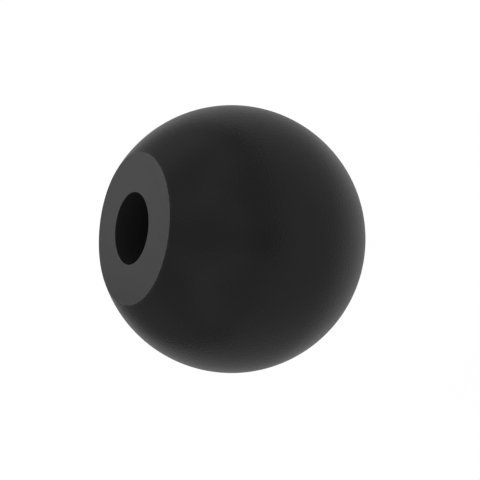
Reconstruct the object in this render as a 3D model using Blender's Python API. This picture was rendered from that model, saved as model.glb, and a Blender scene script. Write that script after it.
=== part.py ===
"""Case opening friction ball: a soft rubber ball with one flat ring face and a blind bore.

Units are metres and +Z is up. The ball lies on its round back, which is how it comes to rest by itself.
The origin is the middle of the small patch that it lies on. The ring face and the mouth of the bore look
straight up.
"""

from math import atan2, cos, pi, radians, sin, sqrt

import bmesh
import bpy
from mathutils import Vector

# Driving dimensions
BALL_DIAMETER = 0.060
BALL_LENGTH = 0.0554            # from the resting patch to the ring face
REST_PATCH_DIAMETER = 0.004     # contact width: how far the soft rubber gives under its own weight
BORE_DIAMETER = 0.015
BORE_DEPTH = 0.0255             # the bore ends close to the centre of the ball
FACE_EDGE_RADIUS = 0.00015      # where the ball meets the ring face
MOUTH_EDGE_RADIUS = 0.0001      # where the ring face meets the bore
FLOOR_FILLET_RADIUS = 0.0005    # inside corner at the floor of the bore

# Facets
TURN_STEPS = 72                 # round the ball's axis
ARC_STEP = radians(5)           # along the ball's outline
EDGE_STEPS = 2                  # along each small edge radius
SHARP_ANGLE = radians(30)

# Worked out from the driving dimensions
BALL_RADIUS = BALL_DIAMETER / 2
BORE_RADIUS = BORE_DIAMETER / 2
PATCH_RADIUS = REST_PATCH_DIAMETER / 2
CENTRE_Z = sqrt(BALL_RADIUS ** 2 - PATCH_RADIUS ** 2)
FACE_Z = BALL_LENGTH
FLOOR_Z = FACE_Z - BORE_DEPTH

RUBBER_COLOUR = (0.018, 0.018, 0.019, 1.0)
RUBBER_ROUGHNESS = 0.5
MERGE_DISTANCE = 1e-7


def clear_scene():
    for old in list(bpy.data.objects):
        bpy.data.objects.remove(old, do_unlink=True)


def rubber_material():
    material = bpy.data.materials.new("black_rubber")
    material.use_nodes = True
    shader = material.node_tree.nodes["Principled BSDF"]
    shader.inputs["Base Color"].default_value = RUBBER_COLOUR
    shader.inputs["Roughness"].default_value = RUBBER_ROUGHNESS
    shader.inputs["Metallic"].default_value = 0.0
    return material


def arc(centre, radius, start, end, steps):
    """Points (r, z) on an arc in the plane of the outline, both ends included."""
    points = []
    for i in range(steps + 1):
        angle = start + (end - start) * i / steps
        points.append((centre[0] + radius * cos(angle), centre[1] + radius * sin(angle)))
    return points


def bore_outline():
    """From the middle of the floor, up the wall, to the rounded edge of the mouth."""
    fillet_centre = (BORE_RADIUS - FLOOR_FILLET_RADIUS, FLOOR_Z + FLOOR_FILLET_RADIUS)
    mouth_centre = (BORE_RADIUS + MOUTH_EDGE_RADIUS, FACE_Z - MOUTH_EDGE_RADIUS)
    fillet = arc(fillet_centre, FLOOR_FILLET_RADIUS, -pi / 2, 0.0, EDGE_STEPS)
    mouth = arc(mouth_centre, MOUTH_EDGE_RADIUS, pi, pi / 2, EDGE_STEPS)
    return [(0.0, FLOOR_Z)] + fillet + mouth


def ball_outline():
    """From the outer edge of the ring face, round the ball, to the middle of the resting patch."""
    edge_z = FACE_Z - FACE_EDGE_RADIUS
    edge_rise = edge_z - CENTRE_Z
    edge_r = sqrt((BALL_RADIUS - FACE_EDGE_RADIUS) ** 2 - edge_rise ** 2)
    edge_end = atan2(edge_rise, edge_r)
    patch_edge = atan2(-CENTRE_Z, PATCH_RADIUS)
    ball_centre = (0.0, CENTRE_Z)
    edge = arc((edge_r, edge_z), FACE_EDGE_RADIUS, pi / 2, edge_end, EDGE_STEPS)
    upper = arc(ball_centre, BALL_RADIUS, edge_end, 0.0, round(edge_end / ARC_STEP))
    lower = arc(ball_centre, BALL_RADIUS, 0.0, patch_edge, round(-patch_edge / ARC_STEP))
    return edge + upper[1:] + lower[1:-1] + [(PATCH_RADIUS, 0.0), (0.0, 0.0)]


def turned_mesh(name, outline):
    """Spin an outline of (r, z) points a full turn round the Z axis."""
    form = bmesh.new()
    line = [form.verts.new((r, 0.0, z)) for r, z in outline]
    edges = [form.edges.new(pair) for pair in zip(line, line[1:])]
    bmesh.ops.spin(
        form,
        geom=line + edges,
        cent=Vector((0.0, 0.0, 0.0)),
        axis=Vector((0.0, 0.0, 1.0)),
        angle=2 * pi,
        steps=TURN_STEPS,
        use_merge=True,
    )
    bmesh.ops.remove_doubles(form, verts=form.verts, dist=MERGE_DISTANCE)
    bmesh.ops.recalc_face_normals(form, faces=form.faces)
    mesh = bpy.data.meshes.new(name)
    form.to_mesh(mesh)
    form.free()
    mesh.shade_smooth()
    mesh.set_sharp_from_angle(angle=SHARP_ANGLE)
    return mesh


def make_rubber_ball():
    """The whole tool: ball, ring face and bore are one moulded piece."""
    mesh = turned_mesh("rubber_ball", bore_outline() + ball_outline())
    mesh.materials.append(rubber_material())
    ball = bpy.data.objects.new("rubber_ball", mesh)
    bpy.context.scene.collection.objects.link(ball)
    return ball


def main():
    clear_scene()
    make_rubber_ball()


main()
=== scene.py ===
from math import acos, atan2, cos, pi, radians, sin, sqrt

import bmesh
import bpy
from mathutils import Matrix, Vector


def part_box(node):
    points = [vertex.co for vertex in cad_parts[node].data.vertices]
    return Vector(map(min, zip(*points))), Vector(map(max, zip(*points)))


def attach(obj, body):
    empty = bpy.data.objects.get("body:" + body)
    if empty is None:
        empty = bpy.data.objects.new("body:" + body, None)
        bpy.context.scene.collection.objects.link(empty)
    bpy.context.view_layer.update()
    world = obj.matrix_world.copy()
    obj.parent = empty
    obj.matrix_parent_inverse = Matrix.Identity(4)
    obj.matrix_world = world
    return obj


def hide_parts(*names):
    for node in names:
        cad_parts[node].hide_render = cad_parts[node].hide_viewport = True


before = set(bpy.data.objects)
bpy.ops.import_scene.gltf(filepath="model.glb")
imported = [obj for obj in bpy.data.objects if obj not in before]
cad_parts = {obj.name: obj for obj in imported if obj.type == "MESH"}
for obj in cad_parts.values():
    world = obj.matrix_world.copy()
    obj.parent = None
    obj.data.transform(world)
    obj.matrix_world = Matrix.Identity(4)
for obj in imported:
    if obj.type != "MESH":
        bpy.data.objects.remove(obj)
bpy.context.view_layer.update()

# Everything is in metres. The ball lies on its round back, so its flat ring face looks straight up.

ballLow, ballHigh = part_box("rubber_ball")
print("frame loaded, ball measured:", [round(high - low, 4) for low, high in zip(ballLow, ballHigh)])

ball = {
    "bore": 0.25,               # share of the ball's diameter
    "boreDepth": 0.0255,
    "restPatch": 0.004,         # width on which the soft rubber rests
    "faceEdge": 0.00015,        # radius where the ball meets the ring face
    "mouthEdge": 0.0001,        # radius where the ring face meets the bore
    "floorFillet": 0.0005,      # radius in the corner at the floor of the bore
    "turnSteps": 240,           # facets round the axis
    "skinStep": radians(1.5),   # facets along the round outline
    "edgeSteps": 6,
    "wallSteps": 20,
    "faceSteps": 8,
    "support": 0.00003,         # rings this close to an edge keep the flat flat
    "merge": 1e-7,
}

radius = (ballHigh[0] - ballLow[0]) / 2
boreRadius = ball["bore"] * radius
faceZ = ballHigh[2]
floorZ = faceZ - ball["boreDepth"]
centreZ = ballLow[2] + sqrt(radius ** 2 - (ball["restPatch"] / 2) ** 2)

# the round skin ends here, where the small radius at the ring face begins
ringRise = faceZ - ball["faceEdge"] - centreZ
ringReach = sqrt((radius - ball["faceEdge"]) ** 2 - ringRise ** 2)


def arc(centre, size, start, end, steps):
    angles = [start + (end - start) * i / steps for i in range(steps + 1)]
    return [(centre[0] + size * cos(a), centre[1] + size * sin(a)) for a in angles]


def straight(start, end, steps):
    # the points between two ends, with a support ring close to each of them
    length = sqrt((end[0] - start[0]) ** 2 + (end[1] - start[1]) ** 2)
    near = ball["support"] / length
    shares = [near] + [i / steps for i in range(1, steps)] + [1 - near]
    return [tuple(a + (b - a) * t for a, b in zip(start, end)) for t in shares]


def ballOutline():
    # (r, z) from the middle of the bore's floor, over the ring face, to the middle of the resting patch
    fillet = ball["floorFillet"]
    edge = ball["faceEdge"]
    mouthEdge = ball["mouthEdge"]
    floorMiddle = (0.0, floorZ)
    patchMiddle = (0.0, ballLow[2])
    bend = arc((boreRadius - fillet, floorZ + fillet), fillet, -pi / 2, 0.0, ball["edgeSteps"])
    mouth = arc((boreRadius + mouthEdge, faceZ - mouthEdge), mouthEdge, pi, pi / 2, ball["edgeSteps"])
    skinTop = atan2(ringRise, ringReach)
    corner = arc((ringReach, faceZ - edge), edge, pi / 2, skinTop, ball["edgeSteps"])
    skinEnd = -acos(ball["restPatch"] / 2 / radius)
    skinSteps = round((skinTop - skinEnd) / ball["skinStep"])
    skin = arc((0.0, centreZ), radius, skinTop, skinEnd, skinSteps)
    return (
        [floorMiddle] + straight(floorMiddle, bend[0], ball["faceSteps"])[1:] + bend
        + straight(bend[-1], mouth[0], ball["wallSteps"]) + mouth
        + straight(mouth[-1], corner[0], ball["faceSteps"]) + corner
        + skin[1:] + [patchMiddle]
    )


def turnedMesh(name, outline):
    form = bmesh.new()
    line = [form.verts.new((r, 0.0, z)) for r, z in outline]
    edges = [form.edges.new(pair) for pair in zip(line, line[1:])]
    bmesh.ops.spin(form, geom=line + edges, cent=Vector(), axis=Vector((0, 0, 1)),
                   angle=2 * pi, steps=ball["turnSteps"], use_merge=True)
    bmesh.ops.remove_doubles(form, verts=form.verts, dist=ball["merge"])
    bmesh.ops.recalc_face_normals(form, faces=form.faces)
    mesh = bpy.data.meshes.new(name)
    form.to_mesh(mesh)
    form.free()
    mesh.shade_smooth()
    return mesh


def surfaceOf(face):
    r = sqrt(face.center.x ** 2 + face.center.y ** 2)
    if r < boreRadius + ball["mouthEdge"] and face.center.z > floorZ - ball["support"]:
        return "boreWall"
    if face.center.z > faceZ - ball["support"]:
        return "ringFace"
    return "ballSkin"


def addNode(tree, kind, at, **settings):
    node = tree.nodes.new(kind)
    node.location = at
    for name, value in settings.items():
        setattr(node, name, value)
    return node


def newGroup(name, inputs, outputs):
    # inputs maps a socket's name to its default value
    group = bpy.data.node_groups.new(name, "ShaderNodeTree")
    for socket, value in inputs.items():
        made = group.interface.new_socket(socket, in_out="INPUT", socket_type="NodeSocketFloat")
        made.default_value = value
    for socket in outputs:
        group.interface.new_socket(socket, in_out="OUTPUT", socket_type="NodeSocketFloat")
    start = addNode(group, "NodeGroupInput", (-1000, 0))
    end = addNode(group, "NodeGroupOutput", (800, 0))
    return group, start.outputs, end.inputs


def placeGroup(tree, group, at, values):
    node = addNode(tree, "ShaderNodeGroup", at, node_tree=group)
    for name, value in values.items():
        node.inputs[name].default_value = value
    return node


def mathNode(tree, operation, at, first, second=None, third=None, clamp=False):
    node = addNode(tree, "ShaderNodeMath", at, operation=operation, use_clamp=clamp)
    for socket, value in zip(node.inputs, (first, second, third)):
        if value is None:
            continue
        if isinstance(value, (int, float)):
            socket.default_value = value
        else:
            tree.links.new(value, socket)
    return node.outputs[0]


def objectPlace(tree, at):
    return addNode(tree, "ShaderNodeTexCoord", at).outputs["Object"]


def sizedTexture(tree, kind, at, where, size):
    # a texture whose cells are about as wide as size
    texture = addNode(tree, kind, at)
    scale = mathNode(tree, "DIVIDE", (at[0] - 300, at[1]), 1.0, size)
    tree.links.new(where, texture.inputs["Vector"])
    tree.links.new(scale, texture.inputs["Scale"])
    return texture


def fromAxis(tree, where):
    # a place split into X, Y and Z, and its distance from the axis of the ball
    split = addNode(tree, "ShaderNodeSeparateXYZ", (-800, -250))
    tree.links.new(where, split.inputs[0])
    x, y = split.outputs["X"], split.outputs["Y"]
    ySquare = mathNode(tree, "MULTIPLY", (-700, -100), y, y)
    square = mathNode(tree, "MULTIPLY_ADD", (-600, 0), x, x, ySquare)
    return split.outputs, mathNode(tree, "SQRT", (-450, 0), square)


effects = {
    "toothDetail": 3.0,
    "cloudDetail": 2.0,
    "patchDetail": 4.0,
    "patchPart": 0.35,          # how far the small patches break up the clouds
    "filmContrast": 1.6,
    "filmLevel": -1.4,          # lower leaves more of the rubber bare
    "chipScale": 1400.0,
    "chipDetail": 5.0,
    "chipContrast": 3.0,
    "chipLevel": -1.0,          # lower breaks the worn edge up more
    "lineDetail": 2.0,
}


def makeRubberGrain():
    # the fine skin that a mould leaves: soft pebbles with a finer tooth on them
    sizes = {"Pebble Size": 0.0004, "Tooth Size": 0.00012, "Tooth Share": 0.4}
    group, given, out = newGroup("rubberGrain", sizes, ["Height"])
    where = objectPlace(group, (-1000, -250))
    pebble = sizedTexture(group, "ShaderNodeTexVoronoi", (-400, 150), where, given["Pebble Size"])
    tooth = sizedTexture(group, "ShaderNodeTexNoise", (-400, -150), where, given["Tooth Size"])
    tooth.inputs["Detail"].default_value = effects["toothDetail"]
    away = pebble.outputs["Distance"]
    dome = mathNode(group, "MULTIPLY", (0, 150), away, away)
    toothPart = mathNode(group, "MULTIPLY", (0, -150), tooth.outputs[0], given["Tooth Share"])
    height = mathNode(group, "SUBTRACT", (300, 0), toothPart, dome)
    group.links.new(height, out["Height"])
    return group


def makeBloomCloud():
    # where the pale film lies: broad soft clouds broken up by smaller ones
    sizes = {"Cloud Size": 0.012, "Patch Size": 0.0015, "Cover": 0.5}
    group, given, out = newGroup("bloomCloud", sizes, ["Mask"])
    where = objectPlace(group, (-1000, -250))
    clouds = sizedTexture(group, "ShaderNodeTexNoise", (-400, 150), where, given["Cloud Size"])
    clouds.inputs["Detail"].default_value = effects["cloudDetail"]
    patches = sizedTexture(group, "ShaderNodeTexNoise", (-400, -150), where, given["Patch Size"])
    patches.inputs["Detail"].default_value = effects["patchDetail"]
    both = mathNode(group, "MULTIPLY_ADD", (-100, 0), patches.outputs[0], effects["patchPart"],
                    clouds.outputs[0])
    level = mathNode(group, "ADD", (100, 0), both, given["Cover"])
    mask = mathNode(group, "MULTIPLY_ADD", (300, 0), level, effects["filmContrast"],
                    effects["filmLevel"], clamp=True)
    group.links.new(mask, out["Mask"])
    return group


def makeCircleWear():
    # wear along a round edge: strongest on the edge itself, gone at Width from it
    sizes = {"Circle Radius": 0.01, "Circle Height": 0.0, "Width": 0.001}
    group, given, out = newGroup("circleWear", sizes, ["Mask"])
    where = objectPlace(group, (-1000, -250))
    place, r = fromAxis(group, where)
    offR = mathNode(group, "SUBTRACT", (-300, 0), r, given["Circle Radius"])
    offZ = mathNode(group, "SUBTRACT", (-300, -200), place["Z"], given["Circle Height"])
    zSquare = mathNode(group, "MULTIPLY", (-200, -200), offZ, offZ)
    square = mathNode(group, "MULTIPLY_ADD", (-100, 0), offR, offR, zSquare)
    distance = mathNode(group, "SQRT", (50, 0), square)
    away = mathNode(group, "DIVIDE", (150, 0), distance, given["Width"])
    near = mathNode(group, "SUBTRACT", (300, 0), 1.0, away, clamp=True)
    fade = mathNode(group, "MULTIPLY", (450, 0), near, near)
    chips = addNode(group, "ShaderNodeTexNoise", (0, 300))
    chips.inputs["Scale"].default_value = effects["chipScale"]
    chips.inputs["Detail"].default_value = effects["chipDetail"]
    group.links.new(where, chips.inputs["Vector"])
    broken = mathNode(group, "MULTIPLY_ADD", (300, 300), chips.outputs[0], effects["chipContrast"],
                      effects["chipLevel"], clamp=True)
    group.links.new(mathNode(group, "MULTIPLY", (600, 0), fade, broken), out["Mask"])
    return group


def makeDustSpecks():
    # a few tiny pale specks: one in each cell of a coarse pattern, and most cells stay clean
    sizes = {"Spacing": 0.002, "Speck Size": 0.0001, "Share": 0.3}
    group, given, out = newGroup("dustSpecks", sizes, ["Mask"])
    where = objectPlace(group, (-1000, -250))
    cells = sizedTexture(group, "ShaderNodeTexVoronoi", (-400, 0), where, given["Spacing"])
    away = mathNode(group, "MULTIPLY", (-150, 100), cells.outputs["Distance"], given["Spacing"])
    part = mathNode(group, "DIVIDE", (0, 100), away, given["Speck Size"])
    speck = mathNode(group, "SUBTRACT", (200, 100), 1.0, part, clamp=True)
    pick = addNode(group, "ShaderNodeSeparateColor", (-150, -150))
    group.links.new(cells.outputs["Color"], pick.inputs[0])
    chosen = mathNode(group, "LESS_THAN", (100, -150), pick.outputs[0], given["Share"])
    group.links.new(mathNode(group, "MULTIPLY", (500, 0), speck, chosen), out["Mask"])
    return group


def makeTurnedLines():
    # faint rings left where a surface was rubbed or cut round the ball's axis
    group, given, out = newGroup("turnedLines", {"Line Spacing": 0.0003}, ["Height"])
    place, r = fromAxis(group, objectPlace(group, (-1000, -250)))
    angle = mathNode(group, "ARCTAN2", (-450, -200), place["Y"], place["X"])
    turns = mathNode(group, "DIVIDE", (-250, 0), r, given["Line Spacing"])
    bend = mathNode(group, "SINE", (-250, -200), angle)
    climb = mathNode(group, "DIVIDE", (-250, -400), place["Z"], given["Line Spacing"])
    joined = addNode(group, "ShaderNodeCombineXYZ", (-50, 0))
    for socket, value in zip(joined.inputs, (turns, bend, climb)):
        group.links.new(value, socket)
    lines = addNode(group, "ShaderNodeTexNoise", (150, 0))
    lines.inputs["Scale"].default_value = 1.0       # the spacing has already set the scale
    lines.inputs["Detail"].default_value = effects["lineDetail"]
    group.links.new(joined.outputs[0], lines.inputs["Vector"])
    group.links.new(lines.outputs[0], out["Height"])
    return group


rubber = {
    "black": (0.0134, 0.0134, 0.0136, 1.0),
    "film": (0.0156, 0.0156, 0.0158, 1.0),          # the pale film that rubber grows with age
    "borePaintedFillBlack": (0.0450, 0.0450, 0.0453, 1.0),     # paler than the skin: painted fill light that lifts the shade held inside the deep bore
    # the bore's filmed tone, also paler: painted fill light in the bore's shade
    "borePaintedFillFilm": (0.0510, 0.0510, 0.0513, 1.0),
    "worn": (0.0600, 0.0590, 0.0580, 1.0),          # edges that have met many case backs
    "dust": (0.1600, 0.1580, 0.1540, 1.0),
    "roughness": 0.225,
    "bloomRoughness": 0.02,                         # how much the film adds
    "wornRoughness": 0.06,                          # how much the wear adds
    "ior": 1.5,
    "grainDepth": 0.00006,
}

outerWear = (ringReach, faceZ, 0.0009)              # radius, height and width of a worn edge
mouthWear = (boreRadius, faceZ, 0.0007)

surfaces = {
    "ballSkin": {
        "tones": ("black", "film"),
        "pebble": 0.00045,
        "tooth": 0.00013,
        "toothShare": 0.35,
        "grain": 0.5,           # strength of the bump
        "lines": 0.0,           # height of the turned lines against the grain
        "cover": 0.48,          # how much film lies on it
        "dust": 0.30,           # share of the cells that hold a speck
        "wear": [outerWear],
    },
    "ringFace": {
        "tones": ("black", "film"),
        "pebble": 0.00030,
        "tooth": 0.00010,
        "toothShare": 0.50,
        "grain": 0.4,
        "lines": 0.6,
        "cover": 0.50,
        "dust": 0.20,
        "wear": [outerWear, mouthWear],
    },
    "boreWall": {
        # the bore's tones are paler than the skin's, which paints fill light into its shade
        "tones": ("borePaintedFillBlack", "borePaintedFillFilm"),
        "pebble": 0.00035,
        "tooth": 0.00011,
        "toothShare": 0.50,
        "grain": 0.5,
        "lines": 0.6,
        "cover": 0.44,
        "dust": 0.45,
        "wear": [mouthWear],
    },
}

mixSockets = {"first": 6, "second": 7, "result": 2}     # where a Mix node keeps its colours


def mixColour(tree, at, factor, first, second):
    node = addNode(tree, "ShaderNodeMix", at, data_type="RGBA")
    tree.links.new(factor, node.inputs["Factor"])
    for name, value in (("first", first), ("second", second)):
        socket = node.inputs[mixSockets[name]]
        if isinstance(value, tuple):
            socket.default_value = value
        else:
            tree.links.new(value, socket)
    return node.outputs[mixSockets["result"]]


def makeWear(tree, edges, group):
    # the stronger of the masks, where a surface has more than one worn edge
    wear = None
    for i, (r, z, width) in enumerate(edges):
        values = {"Circle Radius": r, "Circle Height": z, "Width": width}
        one = placeGroup(tree, group, (-1000, -200 * i), values).outputs["Mask"]
        wear = one if wear is None else mathNode(tree, "MAXIMUM", (-750, -100), wear, one)
    return wear


def makeRubber(name, look, groups):
    material = bpy.data.materials.new(name)
    material.use_nodes = True
    tree = material.node_tree
    shader = tree.nodes["Principled BSDF"]
    shader.inputs["Metallic"].default_value = 0.0
    shader.inputs["IOR"].default_value = rubber["ior"]

    bloom = placeGroup(tree, groups["bloomCloud"], (-1000, 300), {"Cover": look["cover"]}).outputs["Mask"]
    wear = makeWear(tree, look["wear"], groups["circleWear"])
    specks = placeGroup(tree, groups["dustSpecks"], (-1000, 550), {"Share": look["dust"]}).outputs["Mask"]
    bare, filmed = [rubber[tone] for tone in look["tones"]]
    colour = mixColour(tree, (-500, 300), bloom, bare, filmed)
    colour = mixColour(tree, (-350, 300), wear, colour, rubber["worn"])
    colour = mixColour(tree, (-200, 300), specks, colour, rubber["dust"])
    tree.links.new(colour, shader.inputs["Base Color"])

    rough = mathNode(tree, "MULTIPLY_ADD", (-500, 0), bloom, rubber["bloomRoughness"], rubber["roughness"])
    rough = mathNode(tree, "MULTIPLY_ADD", (-250, 0), wear, rubber["wornRoughness"], rough)
    tree.links.new(rough, shader.inputs["Roughness"])

    grainValues = {"Pebble Size": look["pebble"], "Tooth Size": look["tooth"],
                   "Tooth Share": look["toothShare"]}
    height = placeGroup(tree, groups["rubberGrain"], (-1000, -650), grainValues).outputs["Height"]
    if look["lines"]:
        lines = placeGroup(tree, groups["turnedLines"], (-1000, -850), {}).outputs["Height"]
        height = mathNode(tree, "MULTIPLY_ADD", (-700, -700), lines, look["lines"], height)
    bump = addNode(tree, "ShaderNodeBump", (-300, -500))
    bump.inputs["Strength"].default_value = look["grain"]
    bump.inputs["Distance"].default_value = rubber["grainDepth"]
    tree.links.new(height, bump.inputs["Height"])
    tree.links.new(bump.outputs["Normal"], shader.inputs["Normal"])
    return material


def makeBall():
    groups = {
        "rubberGrain": makeRubberGrain(),
        "bloomCloud": makeBloomCloud(),
        "circleWear": makeCircleWear(),
        "dustSpecks": makeDustSpecks(),
        "turnedLines": makeTurnedLines(),
    }
    mesh = turnedMesh("rubberBall", ballOutline())
    for name, look in surfaces.items():
        mesh.materials.append(makeRubber(name, look, groups))
    print("rubber finishes made:", ", ".join(surfaces))
    order = list(surfaces)
    for face in mesh.polygons:
        face.material_index = order.index(surfaceOf(face))
    piece = bpy.data.objects.new("rubberBall", mesh)
    bpy.context.scene.collection.objects.link(piece)
    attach(piece, "root")
    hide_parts("rubber_ball")
    print("rubber ball made:", len(mesh.polygons), "faces")


stage = {
    "floorSize": 6.0,
    "floorCells": 12,
    "floorColour": (0.80, 0.80, 0.80, 1.0),
    "floorRoughness": 0.9,
    "floorSpecular": 0.2,
    "white": (1.0, 1.0, 1.0, 1.0),
    "cameraWhite": 1.22,        # how bright the floor looks straight to the camera
    "cameraShare": 0.75,        # the rest of what the camera sees is real light and shade
    "glow": 0.106,              # the light table's own light, all over
    "paintedPoolGlow": 0.133,          # a painted pool of light round the ball's foot, brighter than the rest of the floor, which washes out the ball's contact shadow
    # how far the painted pool of light reaches from the ball's foot
    "paintedPoolReach": (0.028, 0.052),
    "air": (0.196, 0.196, 0.196, 1.0),
}


def paintedPoolNode(tree, at, distance):
    # mask of the painted pool of light: 1 round the foot of the ball, falling softly to 0 at the end of its
    # reach
    node = addNode(tree, "ShaderNodeMapRange", at, interpolation_type="SMOOTHSTEP")
    near, far = stage["paintedPoolReach"]
    for name, number in {"From Min": near, "From Max": far, "To Min": 1.0, "To Max": 0.0}.items():
        node.inputs[name].default_value = number
    tree.links.new(distance, node.inputs["Value"])
    return node.outputs["Result"]


def makeFloor():
    form = bmesh.new()
    cells = stage["floorCells"]
    bmesh.ops.create_grid(form, x_segments=cells, y_segments=cells, size=stage["floorSize"] / 2)
    mesh = bpy.data.meshes.new("studioFloor")
    form.to_mesh(mesh)
    form.free()
    floor = bpy.data.objects.new("studioFloor", mesh)
    floor.location = (0.0, 0.0, ballLow[2])
    bpy.context.scene.collection.objects.link(floor)

    material = bpy.data.materials.new("paleFloor")
    material.use_nodes = True
    tree = material.node_tree
    shader = tree.nodes["Principled BSDF"]
    shader.inputs["Base Color"].default_value = stage["floorColour"]
    shader.inputs["Roughness"].default_value = stage["floorRoughness"]
    shader.inputs["Specular IOR Level"].default_value = stage["floorSpecular"]
    reach = addNode(tree, "ShaderNodeVectorMath", (-1100, -200), operation="LENGTH")
    tree.links.new(objectPlace(tree, (-1300, -300)), reach.inputs[0])
    paintedPool = paintedPoolNode(tree, (-850, -100), reach.outputs["Value"])
    # the floor's own even glow, plus the painted pool of light round the ball's foot
    glow = mathNode(tree, "MULTIPLY_ADD", (-400, -200), paintedPool, stage["paintedPoolGlow"], stage["glow"])
    shader.inputs["Emission Color"].default_value = stage["white"]
    tree.links.new(glow, shader.inputs["Emission Strength"])
    white = addNode(tree, "ShaderNodeEmission", (0, 200))
    white.inputs["Strength"].default_value = stage["cameraWhite"]
    path = addNode(tree, "ShaderNodeLightPath", (-300, 500))
    share = mathNode(tree, "MULTIPLY", (0, 400), path.outputs["Is Camera Ray"], stage["cameraShare"])
    mix = addNode(tree, "ShaderNodeMixShader", (300, 200))
    for socket, value in zip(mix.inputs, (share, shader.outputs[0], white.outputs[0])):
        tree.links.new(value, socket)
    tree.links.new(mix.outputs[0], tree.nodes["Material Output"].inputs["Surface"])
    mesh.materials.append(material)


def makeAir():
    # soft grey light from all round, which the camera sees as plain white
    world = bpy.data.worlds.new("studioAir")
    world.use_nodes = True
    bpy.context.scene.world = world
    tree = world.node_tree
    air = tree.nodes["Background"]
    air.inputs["Color"].default_value = stage["air"]
    white = addNode(tree, "ShaderNodeBackground", (0, -200))
    white.inputs["Color"].default_value = stage["white"]
    white.inputs["Strength"].default_value = stage["cameraWhite"]
    path = addNode(tree, "ShaderNodeLightPath", (-300, 300))
    mix = addNode(tree, "ShaderNodeMixShader", (300, 0))
    for socket, value in zip(mix.inputs, (path.outputs["Is Camera Ray"], air.outputs[0], white.outputs[0])):
        tree.links.new(value, socket)
    tree.links.new(mix.outputs[0], tree.nodes["World Output"].inputs["Surface"])


ballCentre = Vector((0.0, 0.0, centreZ))
boxDistance = 0.60                      # from the middle of the ball to every soft box

softBoxes = {                           # where each one stands from the ball, its width and its watts
    "backBox": ((0.05, 0.73, 0.67), 0.42, 0.280),
    "topRightBox": ((0.7, 0.0, 0.7), 0.85, 0.192),
    "topLeftBox": ((-0.7, 0.0, 0.7), 0.85, 0.133),
    "backRightBox": ((0.7, 0.7, 0.25), 0.85, 0.135),
    "frontBox": ((0.0, -0.6, 0.8), 0.85, 0.155),
    "frontRightBox": ((0.7, -0.7, 0.3), 0.85, 0.119),
    "frontLeftBox": ((-0.7, -0.7, 0.3), 0.85, 0.180),
}


def makeLights():
    for name, (direction, width, watts) in softBoxes.items():
        data = bpy.data.lights.new(name, "AREA")
        data.shape = "DISK"
        data.size = width
        data.energy = watts
        light = bpy.data.objects.new(name, data)
        toward = Vector(direction).normalized()
        light.location = ballCentre + toward * boxDistance
        light.rotation_mode = "QUATERNION"
        light.rotation_quaternion = toward.to_track_quat("Z", "Y")
        bpy.context.scene.collection.objects.link(light)


view = {
    "lens": 50.0,
    "away": 5.073,                      # ball radii from the camera to the ball's centre
    "elevation": radians(34.853),
    "roll": radians(-83.882),           # turned so that the bore looks to the left
    "aim": (0.0, -0.0363, -0.0507),     # ball radii from the ball's centre
    "clip": (0.01, 20.0),
}


def makeCamera():
    data = bpy.data.cameras.new("camera")
    data.lens = view["lens"]
    data.clip_start, data.clip_end = view["clip"]
    camera = bpy.data.objects.new("camera", data)
    toward = Vector((0.0, -cos(view["elevation"]), sin(view["elevation"])))
    camera.location = ballCentre + toward * view["away"] * radius
    aim = ballCentre + Vector(view["aim"]) * radius
    back = (camera.location - aim).normalized()
    levelRight = Vector((0, 0, 1)).cross(back).normalized()
    levelUp = back.cross(levelRight)
    right = levelRight * cos(view["roll"]) + levelUp * sin(view["roll"])
    camera.rotation_mode = "QUATERNION"
    camera.rotation_quaternion = Matrix((right, back.cross(right), back)).transposed().to_quaternion()
    bpy.context.scene.collection.objects.link(camera)
    bpy.context.scene.camera = camera


makeBall()
makeFloor()
makeAir()
print("light table and air made")
makeLights()
print("soft boxes made:", len(softBoxes))
makeCamera()
bpy.context.scene.view_settings.view_transform = "Standard"
print("camera made")
